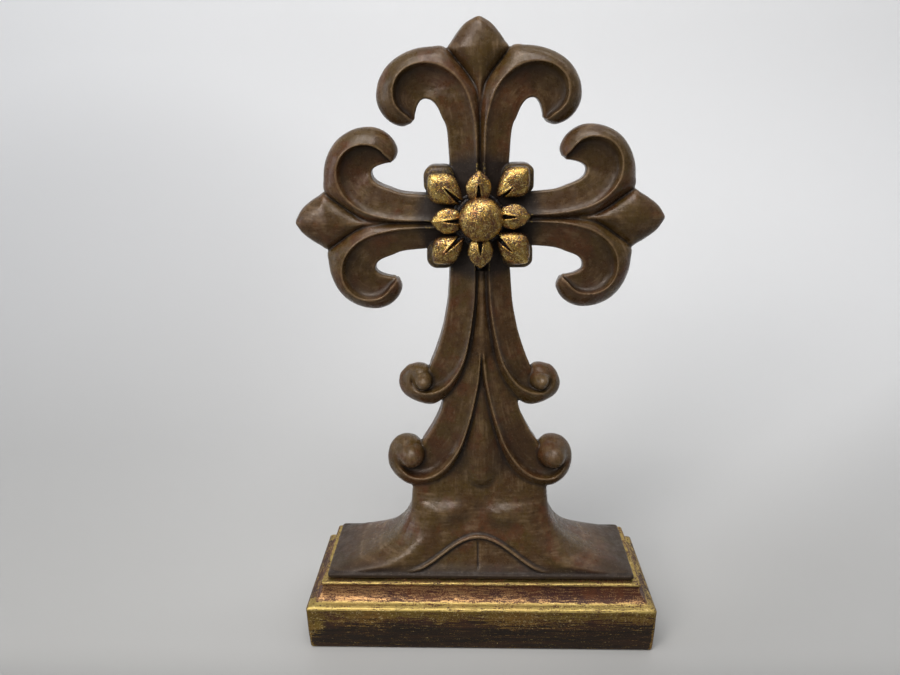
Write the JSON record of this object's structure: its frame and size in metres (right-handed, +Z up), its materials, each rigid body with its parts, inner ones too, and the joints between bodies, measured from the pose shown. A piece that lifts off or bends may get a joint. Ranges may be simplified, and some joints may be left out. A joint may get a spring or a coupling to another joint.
{
  "type": "altar cross",
  "caption": "Free-standing altar cross with hooked leaf arms round a gilded rosette, a scrolled stem, a flared foot and a gilded moulded plinth.",
  "frame": {"origin": "centre of the felt's underside, on the surface that the cross stands on", "axes": "+Z up along the stem, +X to the viewer's right, -Y towards the viewer, out of the rosette"},
  "size_m": [0.1792, 0.0696, 0.307],
  "materials": {
    "patina": "satin brown bronze-coloured paint on cast resin, lighter on the ridges and near black in the hollows",
    "dark_patina": "darker brown paint on cast resin",
    "gold_leaf": "rubbed gold leaf over brown, worn in the hollows",
    "plinth_gilding": "distressed gilding over red clay and dark brown paint on wood",
    "felt": "dark green felt",
    "steel": "plain steel"
  },
  "bodies": {
    "root": {"felt_pad": "felt", "plinth": "plinth_gilding", "foot": "patina", "stem": "patina", "crossing_block": "dark_patina", "top_arm": "patina", "left_arm": "patina", "right_arm": "patina", "corner_petals": "gold_leaf", "side_petals": "gold_leaf", "rosette_boss": "gold_leaf", "rosette_screw": "steel", "screw_washer": "steel", "tie_rod": "steel", "tie_nut": "steel", "tie_washer": "steel", "dowel_top": "steel", "dowel_left": "steel", "dowel_right": "steel", "dowel_stem": "steel"}
  },
  "joints": []
}
